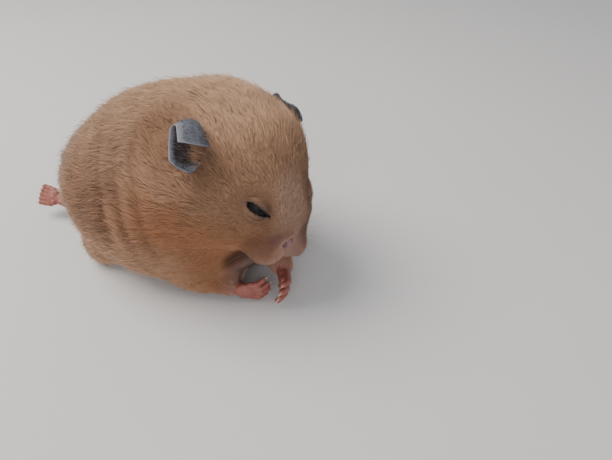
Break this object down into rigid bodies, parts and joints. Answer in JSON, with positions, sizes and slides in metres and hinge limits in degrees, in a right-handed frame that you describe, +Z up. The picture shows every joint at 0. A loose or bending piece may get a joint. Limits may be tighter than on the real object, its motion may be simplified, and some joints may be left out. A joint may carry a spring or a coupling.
{
  "type": "syrian hamster",
  "caption": "Life-size still model of a Syrian hamster, crouched and feeding, with one hind leg stretched out behind.",
  "frame": {"origin": "middle of the bounding box at floor level", "axes": "+Z up, +Y towards the tail and the stretched hind leg, so the face looks towards -Y; +X is the animal's left"},
  "size_m": [0.0584, 0.1134, 0.0648],
  "materials": {
    "coat": "short plush fur, pinkish buff to cinnamon",
    "chest_coat": "short plush fur, warm orange",
    "bare_skin": "soft matt pink skin",
    "ear_skin": "thin blue-grey skin with fine short hair",
    "eye": "wet gloss, near black",
    "claw": "smooth pale horn"
  },
  "bodies": {
    "root": {"head": "coat", "neck": "coat", "trunk": "coat", "tail": "bare_skin", "ear_right": "ear_skin", "ear_left": "ear_skin", "eye_right": "eye", "eye_left": "eye", "nose": "bare_skin", "foreleg_right": "chest_coat", "foreleg_left": "chest_coat", "hindleg_right": "coat", "hindleg_left": "coat", "hand_right": "bare_skin", "hand_left": "bare_skin", "foot_right": "bare_skin", "foot_left": "bare_skin", "claw_hand_right_1": "claw", "claw_hand_right_2": "claw", "claw_hand_right_3": "claw", "claw_hand_right_4": "claw", "claw_foot_right_1": "claw", "claw_foot_right_2": "claw", "claw_foot_right_3": "claw", "claw_foot_right_4": "claw", "claw_foot_right_5": "claw", "claw_hand_left_1": "claw", "claw_hand_left_2": "claw", "claw_hand_left_3": "claw", "claw_hand_left_4": "claw", "claw_foot_left_1": "claw", "claw_foot_left_2": "claw", "claw_foot_left_3": "claw", "claw_foot_left_4": "claw", "claw_foot_left_5": "claw"}
  },
  "joints": []
}
